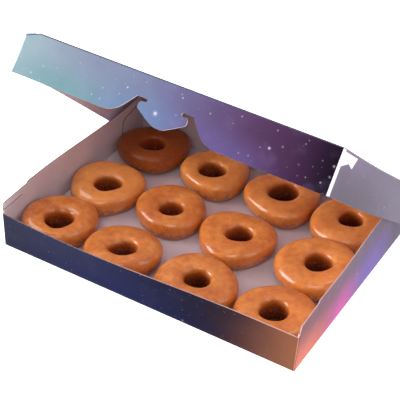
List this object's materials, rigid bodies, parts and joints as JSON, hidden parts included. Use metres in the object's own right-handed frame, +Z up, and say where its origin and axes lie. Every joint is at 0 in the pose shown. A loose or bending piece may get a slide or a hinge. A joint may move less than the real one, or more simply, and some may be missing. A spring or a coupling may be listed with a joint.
{
  "type": "box of ring doughnuts",
  "caption": "Open printed carton of glazed ring doughnuts: shallow tray and a hinged lid with a tuck tongue and two hook slots.",
  "frame": {"origin": "middle of the tray's underside, on the surface the carton rests on", "axes": "+Z up, -Y towards the tray's front wall, where the lid opens, +X towards the tray's right wall as seen from the front; the doughnuts stand in columns along X and in rows from front to back along Y"},
  "size_m": [0.3644, 0.2758, 0.2406],
  "materials": {
    "printed_tray": "folding boxboard with a glossy dark blue to pink print outside and plain pale mauve inside",
    "printed_lid": "folding boxboard with a glossy teal to violet print outside and plain pale mauve inside",
    "glazed_dough": "golden brown fried dough under a thin clear sugar glaze"
  },
  "bodies": {
    "base": {"tray": "printed_tray", "doughnut_front_1": "glazed_dough", "doughnut_front_2": "glazed_dough", "doughnut_front_3": "glazed_dough", "doughnut_front_4": "glazed_dough", "doughnut_middle_1": "glazed_dough", "doughnut_middle_2": "glazed_dough", "doughnut_middle_3": "glazed_dough", "doughnut_middle_4": "glazed_dough", "doughnut_back_1": "glazed_dough", "doughnut_back_2": "glazed_dough", "doughnut_back_3": "glazed_dough", "doughnut_back_4": "glazed_dough"},
    "lid": {"lid": "printed_lid"}
  },
  "joints": [
    {"name": "lid_hinge", "type": "hinge", "parent": "base", "child": "lid", "pos_m": [0, 0.1354, 0.0572], "axis": [-1, 0, 0], "range_deg": [-38.3, 70]}
  ]
}
